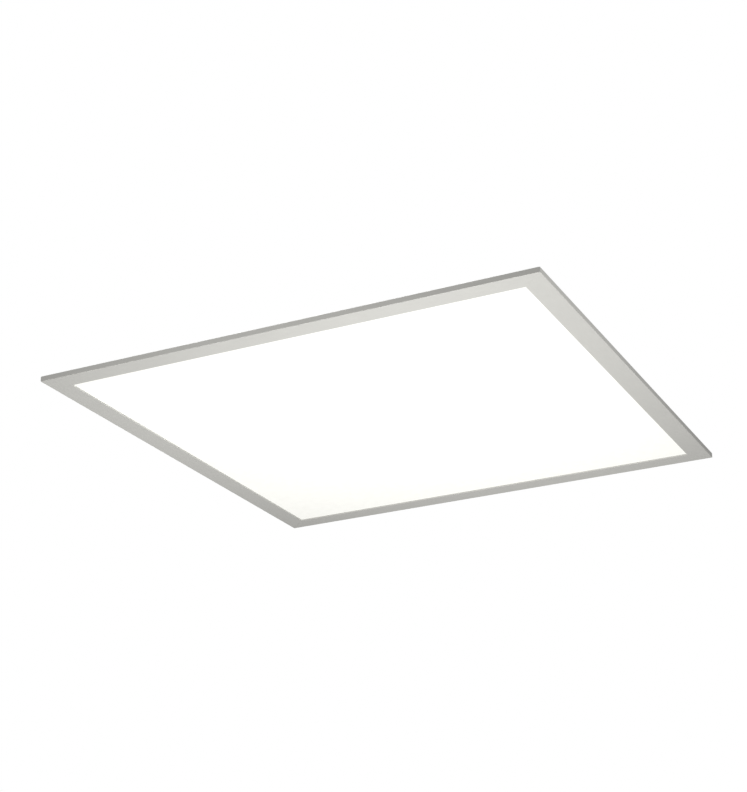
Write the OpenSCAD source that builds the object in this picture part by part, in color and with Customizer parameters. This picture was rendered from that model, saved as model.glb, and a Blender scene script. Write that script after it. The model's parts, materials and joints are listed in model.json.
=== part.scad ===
// Square edge-lit LED ceiling panel for a 600 mm grid, with its driver box on the back.
// Origin: centre of the bezel's lower face. +Z points up, away from the lit side.
// The LED boards run along the south (-Y) and north (+Y) rails; the supply enters from the east (+X).

/* [Panel] */
// Outer side of the square frame
panel_side = 595; // [590:1:605]
// Width of the bezel face round the lit area
bezel_w = 25.4; // [24:0.1:30]
// Height of the frame's outer wall
wall_h = 6.2; // [6:0.1:6.6]
// Thickness of the frame's outer wall
wall_t = 1.5; // [1.2:0.1:2]
// Thickness of the bezel lip
lip_t = 1.2; // [1:0.1:1.4]

/* [Optics] */
// Thickness of the opal diffuser
diffuser_t = 1.5; // [1.2:0.1:1.8]
// Thickness of the light guide
guide_t = 3; // [2.8:0.1:3.2]
// Thickness of the foam behind the reflector
foam_t = 2; // [1.9:0.1:2.4]
// Number of LED chips on each board
chip_count = 62; // [40:1:62]
// Distance between LED chips
chip_pitch = 9; // [7:0.5:9]

/* [Back cover] */
// Sheet thickness of the back cover
cover_t = 0.7; // [0.5:0.1:0.9]
// Distance between suspension nuts, both ways
nut_spacing = 470; // [440:5:480]

/* [Driver box] */
// Length of the driver box, along X
box_l = 330; // [326:1:340]
// Width of the driver box, along Y
box_w = 110; // [106:1:120]
// Height of the driver box above the back cover
box_h = 30; // [30:1:36]
// Sheet thickness of the driver box
sheet_t = 0.9; // [0.8:0.1:1]

/* [Grid clips] */
// Distance of the clips from the panel's centre line
clip_y = 200; // [190:1:220]
// Width of a clip
clip_w = 18; // [14:1:20]
// Length of a clip's arm, from its pin to its hook
clip_arm = 28; // [26:0.5:32]
// Height of the hook above the pin while the clip lies flat
clip_hook = 23; // [20:0.5:24]

/* [Switches] */
// Travel of a switch knob each way from the middle
knob_travel = 2; // [1:0.1:2]

/* [Hidden] */
$fn = 48;

half = panel_side / 2;

// Frame section, measured inward from the outer face.
edge_bevel = 0.4;
lip_bevel = 0.5;
web_t = 1.2;
rib_u = 10;
rib_t = 1.4;
rib_in = rib_u + rib_t;
web_z = wall_h - web_t;
mitre_gap = 0.05;

// Heights of the layers, from the lip upward.
reflector_t = 0.3;
diffuser_z = lip_t;
guide_z = diffuser_z + diffuser_t;
reflector_z = guide_z + guide_t;
foam_z = reflector_z + reflector_t;
field_z = foam_z + foam_t;
back_z = field_z + cover_t;
rib_top = field_z - 0.3;

// LED boards, standing against the ribs of the south and north rails.
tape_t = 0.2;
board_t = 1;
board_z = lip_t + 0.3;
board_top = reflector_z + 1.5;
chip_l = 4;
chip_h = 1.4;
chip_t = 0.7;
board_in = rib_in + tape_t + board_t;
layer_in_y = board_in + chip_t + 0.6;
layer_in_x = rib_in + 3;

// Screws along the back cover's flange.
flange_in = 1.2;
screw_u = 4.5;
screw_end = 37.5;
screw_pitch = (half - screw_end) / 2;
screw_r = 1.4;
flush_r = 2.7;
flush_depth = flush_r - screw_r + 0.05;

// Driver box.
bx = box_l / 2;
by = box_w / 2;
floor_z = back_z + sheet_t;
box_top = back_z + box_h;
wall_top = box_top - 0.7;
fold_r = 1.6;
relief = 0.4;
fit_gap = 0.1;
ear_l = 14;
ear_w = 20;
ear_y = 35;
partition_x = 60;
door_x = partition_x + 1;
cover_lip_h = 8;
plate_y = by - sheet_t - 0.05;
partition_y = by - fold_r - 0.1;

// Door hinge, on the north wall of the tray.
hinge_y = by + 2.6;
hinge_z = box_top - 2.6;
knuckle_r = 2.2;
pin_r = 1;
running_gap = 0.05;
pin_fit = 0.02;
hinge_starts = [68, 123];
knuckle_l = 10;
door_knuckle_l = 14;
knuckle_gap = 0.5;
hinge_l = 2 * (knuckle_l + knuckle_gap) + door_knuckle_l;

// Supply end.
knockout_r = 11.1;
entry_z = back_z + 14;
entry_bore_r = 6;
slug_y = 33;
ground_at = [128, 42];
terminal_at = [80, 27];
terminal_size = [24, 24, 15];
pole_pitch = 8;

// Driver.
case_x0 = -bx + 2;
case_x1 = 30;
case_y = 32;
case_wall = 1.6;
case_z = floor_z + 0.8;
case_h = 21.6;
lid_t = 1.6;
pcb_z = case_z + 3;
pcb_t = 1.6;
part_z = pcb_z + pcb_t;

// Slide switches, at the west end of the driver.
switch_y = 10;
switch_size = [6, 11, 5];
knob_w = 2.6;
knob_h = 2.4;
knob_z = part_z + switch_size[2] / 2;
slot_l = knob_w + 2 * knob_travel + 0.6;
surround_t = 1.2;
knob_tip = -bx - surround_t - 2.2;

// Grid clips: hinge axis along Y, near the east and west edges.
clip_t = 1;
clip_pin_r = 1.25;
clip_knuckle_r = 2.3;
clip_x = half - 16;
bracket_t = 1;
clip_z = back_z + bracket_t + clip_knuckle_r + 0.2;
clip_lip = 5;
clip_fold_r = 2;
ear_gap = 0.4;
bracket_x = [-8, 5];
rivet_y = clip_w / 2 + ear_gap + bracket_t + 4;
bracket_l = 2 * (rivet_y + 4);
safety_hole_r = 2;
clip_signs = [[1, 1], [-1, 1], [-1, -1], [1, -1]];

// Stiffening beads of the back cover: centre x, centre y, length, turn.
bead_w = 14;
bead_h = 1.2;
bead_slope = 1.8;
beads = [[0, 160, 380, 0], [0, -160, 380, 0], [222, 0, 220, 90], [-222, 0, 220, 90]];

// Low-voltage wires: four side by side, from the driver to the ends of the two boards.
dc_r = 0.55;
dc_pitch = 1.5;
dc_bend = 1.3;
grommet_at = [-145, -43];
grommet_bore_r = 3.4;
channel_z = foam_z + 0.1 + dc_r;
gap_x = [-half + rib_in + 0.8, -half + rib_in + 2.2];
wire_end_y = half - board_in - dc_r - 0.05;
pad_z = 4.3;

// Mains wires.
mains_r = 1;
mains_bend = 4;
mains_z = part_z + 4;
mains_in_y = [19, 23, 27];

// Foam holes for the fasteners that come through the back cover.
foam_hole_r = 4;
foam_holes = concat(
    [for (sx = [-1, 1], sy = [-1, 1]) [sx * (bx + ear_l / 2), sy * ear_y]],
    [for (s = clip_signs, k = [-1, 1]) [s[0] * (clip_x + bracket_x[0] / 2), s[1] * clip_y + k * rivet_y]],
    [ground_at]
);

// ---- Shared shapes ----

module at_four_sides() {
    for (k = [0:3]) rotate(90 * k) children();
}

// A length of section along the south side. The section's x is measured inward from the outer face.
module side_bar(section) {
    translate([0, -half, 0]) rotate([90, 0, 90])
        linear_extrude(panel_side, center = true) polygon(section);
}

// The south quarter of the panel, cut at 45 degrees.
module mitre_wedge(gap) {
    reach = half + 1;
    translate([0, 0, -1]) linear_extrude(20)
        polygon([[gap - reach, -reach], [reach - gap, -reach], [0, -gap]]);
}

module mitred_side(section, gap = 0) {
    intersection() {
        side_bar(section);
        mitre_wedge(gap);
    }
}

// A flat layer of the stack, from z up, inside the four ribs.
module layer(z, t) {
    x = half - layer_in_x;
    y = half - layer_in_y;
    translate([-x, -y, z]) cube([2 * x, 2 * y, t]);
}

module rounded_2d(l, w, r) {
    square([l - 2 * r, w], center = true);
    square([l, w - 2 * r], center = true);
    for (sx = [-1, 1], sy = [-1, 1]) translate([sx * (l / 2 - r), sy * (w / 2 - r)]) circle(r);
}

// A folded corner of sheet. Its outer corner is at the origin, and the sheet goes on along +x and +y.
module fold_2d(r, t) {
    translate([r, r]) difference() {
        intersection() {
            circle(r);
            translate([-r, -r]) square(r);
        }
        circle(r - t);
    }
}

// A folded channel that opens towards +y, w wide and h deep.
module channel_2d(w, h, t) {
    translate([fold_r - w / 2, 0]) square([w - 2 * fold_r, t]);
    for (s = [0, 1]) mirror([s, 0]) translate([-w / 2, 0]) {
        translate([0, fold_r]) square([t, h - fold_r]);
        fold_2d(fold_r, t);
    }
}

// The edge of a sheet with its lip folded down: the sheet ends at x = 0, and the lip goes h down from y = 0.
module lip_2d(h, t) {
    run = 3;
    translate([-t, -h]) square([t, h - fold_r]);
    rotate(180) fold_2d(fold_r, t);
    translate([-fold_r - run, -t]) square([run, t]);
}

// A long boss with sloped sides and round ends, standing on z = 0.
module bead_solid(l, w, h, slope) {
    rotate([90, 0, 90]) linear_extrude(l - w, center = true)
        polygon([[-w / 2, 0], [w / 2, 0], [w / 2 - slope, h], [slope - w / 2, h]]);
    for (k = [-1, 1]) translate([k * (l - w) / 2, 0, 0]) cylinder(r1 = w / 2, r2 = w / 2 - slope, h = h);
}

// Pan-head screw with a cross recess, seated at z = 0 and pointing down.
module pan_screw(l, head_r = 2.6, head_h = 1.7) {
    difference() {
        rotate_extrude() polygon([
            [0, -l], [screw_r * 0.5, -l], [screw_r, -l + 1.2], [screw_r, 0], [head_r, 0],
            [head_r, head_h * 0.45], [head_r * 0.75, head_h * 0.9], [head_r * 0.35, head_h], [0, head_h]
        ]);
        for (a = [0, 90]) rotate(a) translate([-1.4, -0.3, head_h - 1]) cube([2.8, 0.6, 2]);
    }
}

// Hole for a countersunk screw whose head ends flush at z = 0.
module flush_hole() {
    translate([0, 0, -flush_depth])
        cylinder(r1 = screw_r + 0.05, r2 = flush_r + 0.11, h = flush_depth + 0.01);
    translate([0, 0, -5]) cylinder(r = screw_r + 0.05, h = 5);
}

// Countersunk screw with a cross recess. Its head ends just under z = 0.
module flush_screw(l) {
    difference() {
        rotate_extrude() polygon([
            [0, -l], [screw_r * 0.5, -l], [screw_r, -l + 1.2], [screw_r, -flush_depth],
            [flush_r, -0.05], [0, -0.05]
        ]);
        for (a = [0, 90]) rotate(a) translate([-1.3, -0.3, -0.9]) cube([2.6, 0.6, 2]);
    }
}

// Domed rivet, seated at z = 0, with its tail spread under the sheets.
module rivet(grip, head_r = 2.4, tail_h = 0.8) {
    rotate_extrude() polygon([
        [0, -grip - tail_h], [1.4, -grip - tail_h], [2.1, -grip], [1.5, -grip], [1.5, 0],
        [head_r, 0], [head_r * 0.8, 0.7], [head_r * 0.4, 1], [0, 1]
    ]);
}

// Turns a shape that points along +Z so that it points along +X or +Y.
module along_x() { rotate([0, 90, 0]) children(); }
module along_y() { rotate([-90, 0, 0]) children(); }

// ---- Wires, swept along rounded routes ----

function unit(v) = v / norm(v);

// The route with each corner rounded by a curve that starts r before it.
function rounded(route, r, steps = 5) = [
    for (i = [0:len(route) - 1])
        if (i == 0 || i == len(route) - 1) route[i]
        else
            let (
                a = route[i] + r * unit(route[i - 1] - route[i]),
                b = route[i] + r * unit(route[i + 1] - route[i])
            )
            for (k = [0:steps]) let (t = k / steps)
                (1 - t) * (1 - t) * a + 2 * (1 - t) * t * route[i] + t * t * b
];

function tangents(p) = [
    for (i = [0:len(p) - 1]) unit(p[min(i + 1, len(p) - 1)] - p[max(i - 1, 0)])
];

function squared_to(n, t) = unit(n - (n * t) * t);

// A normal for each tangent, carried from one to the next without twist.
function normals(t) = [
    for (
        i = 0, n = squared_to([0.3, 0.5, 0.8], t[0]);
        i < len(t);
        i = i + 1, n = squared_to(n, t[min(i, len(t) - 1)])
    ) n
];

module tube(path, r, sides = 8) {
    t = tangents(path);
    n = normals(t);
    rings = len(path);
    points = [
        for (i = [0:rings - 1], k = [0:sides - 1]) let (a = 360 * k / sides)
            path[i] + r * (cos(a) * n[i] + sin(a) * cross(t[i], n[i]))
    ];
    walls = [
        for (i = [0:rings - 2], k = [0:sides - 1])
            let (a = i * sides + k, b = i * sides + (k + 1) % sides)
            each [[a, a + sides, b], [b, a + sides, b + sides]]
    ];
    near_end = [[for (k = [0:sides - 1]) k]];
    far_end = [[for (k = [sides - 1:-1:0]) (rings - 1) * sides + k]];
    polyhedron(points, concat(walls, near_end, far_end));
}

module wire(route, r, bend) {
    tube(rounded(route, bend), r);
}

// ---- Frame ----

module frame_rail() {
    section = [
        [0, edge_bevel], [edge_bevel, 0], [bezel_w - lip_bevel, 0], [bezel_w, lip_bevel], [bezel_w, lip_t],
        [rib_in, lip_t], [rib_in, rib_top], [rib_u, rib_top], [rib_u, wall_h],
        [0.3, wall_h], [0, wall_h - 0.3]
    ];
    chamber = [[wall_t, lip_t], [rib_u, lip_t], [rib_u, web_z], [wall_t, web_z]];
    color("silver") difference() {
        mitred_side(section, mitre_gap);
        mitred_side(chamber);
        cover_screw_row() flush_hole();
        for (k = [-1, 1]) key_screw_at(k) key_screw_hole();
    }
}

// Screw places along the south side. z = 0 is the outer face of the back cover's flange.
module cover_screw_row() {
    for (k = [-2:2]) translate([k * screw_pitch, -half + screw_u, wall_h + cover_t]) children();
}

// Puts a corner key's screw in the south rail, at the west (-1) or east (1) end.
module key_screw_at(k) {
    translate([k * (half - 21), -half + (wall_t + rib_u) / 2, wall_h]) children();
}

module key_screw_hole() {
    translate([0, 0, -1.35]) cylinder(r1 = 1.6, r2 = 2.95, h = 1.36);
    translate([0, 0, -5]) cylinder(r = 1.6, h = 5);
}

module corner_keys() {
    a = wall_t + 0.15;
    b = rib_u - 0.15;
    arm = 34;
    color("dimgray") at_four_sides() difference() {
        translate([-half, -half, lip_t + fit_gap]) linear_extrude(web_z - lip_t - 2 * fit_gap)
            polygon([[a, a], [arm, a], [arm, b], [b, b], [b, arm], [a, arm]]);
        key_screw_at(-1) key_screw_hole();
        rotate(-90) key_screw_at(1) key_screw_hole();
    }
}

module corner_key_screws() {
    color("lightgray") at_four_sides() for (k = [-1, 1]) key_screw_at(k) difference() {
        union() {
            translate([0, 0, -1.35]) cylinder(r1 = 1.5, r2 = 2.8, h = 1.3);
            translate([0, 0, -4.6]) cylinder(r = 1.5, h = 3.3);
        }
        for (turn = [0, 90]) rotate(turn) translate([-1.3, -0.3, -1]) cube([2.6, 0.6, 2]);
    }
}

// ---- Optical stack ----

module diffuser() {
    color("white") layer(diffuser_z, diffuser_t);
}

module light_guide() {
    color("aliceblue") layer(guide_z, guide_t);
}

module reflector() {
    color("snow") layer(reflector_z, reflector_t);
}

module foam_backing() {
    channel_w = 4 * dc_pitch + 1;
    color("lightgray") difference() {
        layer(foam_z, foam_t);
        for (p = foam_holes) translate([p[0], p[1], foam_z - 1]) cylinder(r = foam_hole_r, h = foam_t + 2);
        translate([grommet_at[0], grommet_at[1], foam_z - 1]) cylinder(r = 8, h = foam_t + 2);
        translate([-half, grommet_at[1] - channel_w / 2, foam_z - 1])
            cube([half + grommet_at[0], channel_w, foam_t + 2]);
    }
}

// The board on the south rail, with the pads for its two wires at the west end.
module led_board() {
    end = half - rib_in - 0.3;
    color("whitesmoke") {
        translate([-end, -half + rib_in + tape_t, board_z]) cube([2 * end, board_t, board_top - board_z]);
        for (x = gap_x) translate([x - 0.6, -half + board_in, pad_z - 1.3]) cube([1.2, 2 * dc_r, 1.3]);
    }
}

module led_chips() {
    first = -chip_pitch * (chip_count - 1) / 2;
    middle_z = guide_z + guide_t / 2;
    color("khaki") for (k = [0:chip_count - 1])
        translate([first + k * chip_pitch - chip_l / 2, -half + board_in, middle_z - chip_h / 2])
            difference() {
                cube([chip_l, chip_t, chip_h]);
                translate([0.5, chip_t - 0.15, 0.25]) cube([chip_l - 1, 1, chip_h - 0.5]);
            }
}

module thermal_tapes() {
    end = half - rib_in - 0.3;
    color("gray") for (s = [0, 1]) mirror([0, s, 0])
        translate([-end, -half + rib_in, board_z]) cube([2 * end, tape_t, board_top - board_z]);
}

module edge_spacers() {
    color("black") for (s = [0, 1], y = [-190, 0, 190]) mirror([s, 0, 0])
        translate([-half + rib_in, y - 15, guide_z]) cube([layer_in_x - rib_in, 30, guide_t]);
}

// ---- Back cover ----

module back_cover() {
    flange_out = 7.6;
    step = field_z - wall_h;
    field_in = 40;
    section = [
        [flange_in, wall_h], [flange_out + 0.3, wall_h], [flange_out + 0.3 + step * 0.9, field_z],
        [field_in, field_z], [field_in, back_z],
        [flange_out + step * 0.9, back_z], [flange_out, wall_h + cover_t], [flange_in, wall_h + cover_t]
    ];
    field = half - field_in;
    color("whitesmoke") difference() {
        union() {
            at_four_sides() mitred_side(section);
            translate([-field, -field, field_z]) cube([2 * field, 2 * field, cover_t]);
            for (b = beads) translate([b[0], b[1], back_z]) rotate(b[3])
                bead_solid(b[2], bead_w, bead_h, bead_slope);
        }
        for (b = beads) translate([b[0], b[1], field_z]) rotate(b[3])
            bead_solid(b[2] - cover_t, bead_w - cover_t, bead_h, bead_slope);
        at_four_sides() cover_screw_row() flush_hole();
        for (p = foam_holes) translate([p[0], p[1], field_z - 1]) cylinder(r = screw_r + 0.2, h = 3);
        suspension_points() translate([0, 0, field_z - 1]) cylinder(r = 2.8, h = 3);
        translate([grommet_at[0], grommet_at[1], field_z - 1]) cylinder(r = 5, h = 3);
    }
}

module back_cover_screws() {
    color("silver") at_four_sides() cover_screw_row() flush_screw(4.6);
}

module suspension_points() {
    for (sx = [-1, 1], sy = [-1, 1]) translate([sx, sy, 0] * nut_spacing / 2) children();
}

// Self-clinching nuts, whose shanks are pressed into the back cover.
module suspension_nuts() {
    color("silver") suspension_points() translate([0, 0, field_z]) difference() {
        union() {
            cylinder(r = 2.75, h = cover_t);
            translate([0, 0, cover_t]) cylinder(r = 4, h = 4.4);
            translate([0, 0, cover_t + 4.4]) cylinder(r1 = 4, r2 = 3.6, h = 0.4);
        }
        translate([0, 0, -1]) cylinder(r = 2.1, h = cover_t + 8);
    }
}

module wire_grommet() {
    color("black") translate([grommet_at[0], grommet_at[1], 0]) rotate_extrude() polygon([
        [grommet_bore_r, field_z - 0.4], [6.2, field_z - 0.4], [6.2, field_z - 0.02], [4.95, field_z - 0.02],
        [4.95, floor_z + 0.02], [6.6, floor_z + 0.02], [6.4, floor_z + 1.2], [grommet_bore_r, floor_z + 1.5]
    ]);
}

// One low-voltage wire. place counts the four wires, 0 to 3; the first two go north.
module dc_wire(place) {
    x = grommet_at[0];
    y = grommet_at[1] + (1.5 - place) * dc_pitch;
    top = part_z + 2 + 2 * place;
    side = place < 2 ? 1 : -1;
    column = (place == 0 || place == 3) ? gap_x[1] : gap_x[0];
    wire([
        [x, -case_y - 2, top], [x, y, top], [x, y, channel_z], [column, y, channel_z],
        [column, side * wire_end_y, channel_z], [column, side * wire_end_y, pad_z]
    ], dc_r, dc_bend);
}

module dc_wires_positive() {
    color("firebrick") for (place = [0, 3]) dc_wire(place);
}

module dc_wires_negative() {
    color("black") for (place = [1, 2]) dc_wire(place);
}

// ---- Driver box ----

module driver_tray() {
    color("whitesmoke") difference() {
        union() {
            translate([0, 0, back_z]) rotate([90, 0, 90]) linear_extrude(box_l, center = true)
                channel_2d(box_w, wall_top - back_z, sheet_t);
            for (sx = [-1, 1], sy = [-1, 1]) translate([sx * bx, sy * ear_y, back_z]) linear_extrude(sheet_t)
                rounded_2d(2 * ear_l, ear_w, 3);
            for (x = hinge_starts, k = [0, 1])
                translate([x + k * (hinge_l - knuckle_l), 0, 0]) tray_knuckle();
        }
        for (x = hinge_starts) translate([x - 1, hinge_y, hinge_z]) along_x()
            cylinder(r = pin_r + pin_fit, h = hinge_l + 2);
        for (sx = [-1, 1], sy = [-1, 1]) translate([sx * (bx + ear_l / 2), sy * ear_y, back_z - 1])
            cylinder(r = screw_r + 0.1, h = 3);
        translate([ground_at[0], ground_at[1], back_z - 1]) cylinder(r = screw_r + 0.1, h = 3);
        translate([grommet_at[0], grommet_at[1], back_z - 1]) cylinder(r = 5, h = 3);
        end_rivet_points() cylinder(r = 1.55, h = 4, center = true);
        cover_screw_points() translate([0, 0, -3]) cylinder(r = screw_r + 0.1, h = 5);
    }
}

module tray_knuckle() {
    translate([0, hinge_y, hinge_z]) along_x() cylinder(r = knuckle_r, h = knuckle_l);
    translate([0, by - sheet_t, hinge_z - knuckle_r]) cube([knuckle_l, hinge_y - by + sheet_t, 1.1]);
}

// Rivet places on the long walls: z points outward, and 0 is the wall's outer face.
module end_rivet_points() {
    for (sx = [-1, 1], h = [8, 18]) translate([sx * (bx - 5.5), 0, back_z + h]) {
        translate([0, by, 0]) along_y() children();
        translate([0, -by, 0]) rotate([90, 0, 0]) children();
    }
}

// Screw places on the long walls, for the driver cover.
module cover_screw_points() {
    for (x = [-140, 40]) translate([x, 0, box_top - 4]) {
        translate([0, by, 0]) along_y() children();
        translate([0, -by, 0]) rotate([90, 0, 0]) children();
    }
}

module tray_screws() {
    color("silver") for (sx = [-1, 1], sy = [-1, 1])
        translate([sx * (bx + ear_l / 2), sy * ear_y, floor_z]) pan_screw(3);
}

// An end plate at the east end, with a flange turned in along each wall.
module end_plate_blank() {
    difference() {
        translate([bx, 0, floor_z + 0.05]) linear_extrude(wall_top - floor_z - 0.05)
            rotate(90) channel_2d(2 * plate_y, 11, sheet_t);
        for (k = [-1, 1]) translate([bx, k * plate_y, floor_z]) cube([30, 3, 4], center = true);
    }
}

module supply_end_plate() {
    color("whitesmoke") difference() {
        end_plate_blank();
        for (y = [-slug_y, 0, slug_y]) translate([bx - 2, y, entry_z]) along_x()
            cylinder(r = knockout_r, h = 4);
        end_rivet_points() cylinder(r = 1.55, h = 6, center = true);
    }
}

module switch_end_plate() {
    color("whitesmoke") difference() {
        mirror([1, 0, 0]) end_plate_blank();
        translate([-bx - 1, -17, knob_z - 4]) cube([3, 34, 8]);
        end_rivet_points() cylinder(r = 1.55, h = 6, center = true);
    }
}

module end_plate_rivets() {
    color("silver") end_rivet_points() rivet(2 * sheet_t + 0.1);
}

// Divides the wiring compartment from the driver, and carries the edges of the cover and the door.
module partition_plate() {
    color("whitesmoke") difference() {
        translate([partition_x + sheet_t, 0, (floor_z + box_top) / 2]) rotate([90, 0, 0])
            linear_extrude(2 * partition_y, center = true)
                rotate(90) channel_2d(box_top - floor_z, 11, sheet_t);
        translate([partition_x - 1, mains_in_y[1], mains_z]) along_x() cylinder(r = 6.5, h = 4);
    }
}

module driver_cover() {
    out_y = by + fit_gap;
    x0 = -bx - fit_gap - sheet_t;
    end_x = partition_x + 0.5;
    top = box_top + sheet_t;
    color("whitesmoke") difference() {
        union() {
            translate([x0 + fold_r, 0, top]) rotate([90, 0, 90]) linear_extrude(end_x - x0 - fold_r)
                mirror([0, 1]) channel_2d(2 * (out_y + sheet_t), cover_lip_h + sheet_t, sheet_t);
            translate([x0, 0, top]) rotate([90, 0, 180])
                linear_extrude(2 * (out_y + sheet_t - fold_r - relief), center = true)
                    lip_2d(cover_lip_h + sheet_t, sheet_t);
        }
        cover_screw_points() cylinder(r = screw_r + 0.2, h = 4);
    }
}

module driver_cover_screws() {
    color("silver") cover_screw_points() translate([0, 0, fit_gap + sheet_t]) pan_screw(5);
}

module access_door() {
    out_y = by + 0.2;
    x1 = bx + 0.15;
    end_lip_h = 3;
    rear_y = hinge_y - 0.6;
    side_y = out_y + sheet_t;
    end_x = x1 + sheet_t;
    lip_rear_y = by - 2;
    top = box_top + sheet_t;
    color("whitesmoke") difference() {
        union() {
            translate([door_x, -side_y + fold_r, box_top])
                cube([end_x - fold_r - door_x, rear_y + side_y - fold_r, sheet_t]);
            translate([door_x, -side_y, top]) rotate([90, 0, 90])
                linear_extrude(end_x - fold_r - relief - door_x)
                    mirror([1, 0]) lip_2d(cover_lip_h + sheet_t, sheet_t);
            translate([end_x, (lip_rear_y - side_y + fold_r + relief) / 2, top]) rotate([90, 0, 0])
                linear_extrude(lip_rear_y + side_y - fold_r - relief, center = true)
                    lip_2d(end_lip_h + sheet_t, sheet_t);
            translate([(door_x + bx) / 2, -side_y, box_top - cover_lip_h])
                linear_extrude(sheet_t) difference() {
                    rounded_2d(24, 16, 3);
                    translate([-15, sheet_t]) square([30, 10]);
                }
            for (x = hinge_starts) translate([x + knuckle_l + knuckle_gap, 0, 0]) door_knuckle();
        }
        for (x = hinge_starts) translate([x, hinge_y, hinge_z]) along_x()
            cylinder(r = pin_r + running_gap, h = hinge_l);
    }
}

module door_knuckle() {
    translate([0, hinge_y, hinge_z]) along_x() cylinder(r = knuckle_r, h = door_knuckle_l);
    translate([0, hinge_y + knuckle_r - 1.1, hinge_z])
        cube([door_knuckle_l, 1.1, box_top - hinge_z + sheet_t]);
    translate([0, hinge_y - 1, box_top]) cube([door_knuckle_l, knuckle_r + 1, sheet_t]);
}

module door_hinge_pins() {
    color("silver") for (x = hinge_starts) translate([x, hinge_y, hinge_z]) along_x()
        cylinder(r = pin_r, h = hinge_l);
}

// Snap-in bushing in the middle knock-out. Its bore takes the supply cable.
module cable_bushing() {
    color("black") translate([bx, 0, entry_z]) along_x() difference() {
        union() {
            cylinder(r = 12.6, h = 0.9);
            translate([0, 0, 0.9]) cylinder(r1 = 12.6, r2 = 12, h = 0.6);
            translate([0, 0, -9]) cylinder(r = 10.6, h = 9.1);
            translate([0, 0, -sheet_t - 3]) cylinder(r1 = 10.6, r2 = 11.8, h = 2.95);
        }
        translate([0, 0, -10]) cylinder(r = entry_bore_r, h = 12);
    }
}

// Discs still held in their holes by two small tabs each.
module knockout_slugs() {
    color("whitesmoke") for (y = [-slug_y, slug_y]) translate([bx - sheet_t, y, entry_z]) along_x() {
        cylinder(r = knockout_r - 0.25, h = sheet_t);
        for (turn = [0, 180]) rotate(turn) translate([knockout_r - 1, -1, 0.2])
            cube([0.95, 2, sheet_t - 0.4]);
    }
}

module ground_screw() {
    color("green") translate([ground_at[0], ground_at[1], floor_z]) difference() {
        union() {
            translate([0, 0, 0.8]) cylinder(r = 4.4, h = 0.8);
            translate([0, 0, 1.6]) cylinder(r = 4, h = 2.4, $fn = 6);
            translate([0, 0, -2.6]) cylinder(r = screw_r, h = 3.5);
        }
        translate([-3.2, -0.4, 3.2]) cube([6.4, 0.8, 2]);
    }
}

// Push-in terminal block with square wire mouths on both sides and a test slot over each pole.
module mains_terminal() {
    color("gainsboro") translate([terminal_at[0], terminal_at[1], floor_z]) difference() {
        union() {
            cube(terminal_size);
            translate([-2, 4, 0]) cube([terminal_size[0] + 4, terminal_size[1] - 8, 2]);
        }
        for (k = [0:2]) translate([0, 4 + k * pole_pitch, 0]) {
            translate([-1, -1.5, 6.5]) cube([8, 3, 3]);
            translate([terminal_size[0] - 7, -1.5, 6.5]) cube([8, 3, 3]);
            translate([terminal_size[0] / 2 - 2, -1, terminal_size[2] - 3]) cube([4, 2, 4]);
        }
    }
}

// Wire from the driver's input terminal to one pole of the terminal block.
module mains_wire(pole) {
    y = mains_in_y[pole];
    to_y = terminal_at[1] + 4 + pole * pole_pitch;
    z = floor_z + 8;
    wire([
        [case_x1 + 5, y, mains_z], [partition_x + 3, y, mains_z],
        [terminal_at[0] - 5, to_y, z], [terminal_at[0] + 7, to_y, z]
    ], mains_r, mains_bend);
}

module line_wire() {
    color("black") mains_wire(0);
}

module neutral_wire() {
    color("white") mains_wire(1);
}

module earth_wires() {
    x = terminal_at[0] + terminal_size[0];
    y = terminal_at[1] + 4 + 2 * pole_pitch;
    low = floor_z + 1.5;
    color("forestgreen") {
        mains_wire(2);
        wire([
            [x - 7, y, floor_z + 8], [x + 8, y, floor_z + 8],
            [ground_at[0] - 14, ground_at[1], low], [ground_at[0] - 8, ground_at[1], low]
        ], mains_r, mains_bend);
        translate([ground_at[0], ground_at[1], floor_z]) difference() {
            union() {
                cylinder(r = 4.6, h = 0.8);
                translate([-6, -2, 0]) cube([4, 4, 0.8]);
                translate([-11, 0, 1.5]) along_x() cylinder(r = 1.5, h = 5);
            }
            translate([0, 0, -1]) cylinder(r = screw_r + 0.1, h = 3);
        }
    }
}

// ---- Driver ----

module driver_case() {
    color("whitesmoke") difference() {
        translate([case_x0, -case_y, case_z]) cube([case_x1 - case_x0, 2 * case_y, case_h]);
        translate([case_x0 + case_wall, -case_y + case_wall, case_z + case_wall])
            cube([case_x1 - case_x0 - 2 * case_wall, 2 * (case_y - case_wall), case_h]);
        for (k = [-1, 1]) translate([case_x0 - 1, k * switch_y - slot_l / 2, knob_z - knob_h / 2 - 0.3])
            cube([case_wall + 2, slot_l, knob_h + 0.6]);
        translate([grommet_at[0] - 4, -case_y - 1, part_z - 0.2]) cube([8, case_wall + 2, 10.4]);
        translate([case_x1 - case_wall - 1, mains_in_y[0] - 3, mains_z - 4]) cube([case_wall + 2, 14, 8]);
    }
}

module driver_case_lid() {
    inset = case_wall + fit_gap;
    color("whitesmoke") difference() {
        union() {
            translate([case_x0, -case_y, case_z + case_h]) cube([case_x1 - case_x0, 2 * case_y, lid_t]);
            translate([case_x0 + inset, -case_y + inset, case_z + case_h - 1.5])
                cube([case_x1 - case_x0 - 2 * inset, 2 * (case_y - inset), 1.6]);
        }
        translate([case_x0 + inset + 1.2, -case_y + inset + 1.2, case_z + case_h - 2])
            cube([case_x1 - case_x0 - 2 * inset - 2.4, 2 * (case_y - inset - 1.2), 2]);
    }
}

module driver_pads() {
    color("dimgray") for (x = [-130, -10]) translate([x - 15, -20, floor_z]) cube([30, 40, case_z - floor_z]);
}

module driver_board() {
    x0 = case_x0 + case_wall + 0.1;
    x1 = case_x1 - case_wall - 0.3;
    y = case_y - case_wall - 0.3;
    color("darkgreen") translate([x0, -y, pcb_z]) cube([x1 - x0, 2 * y, pcb_t]);
}

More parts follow.
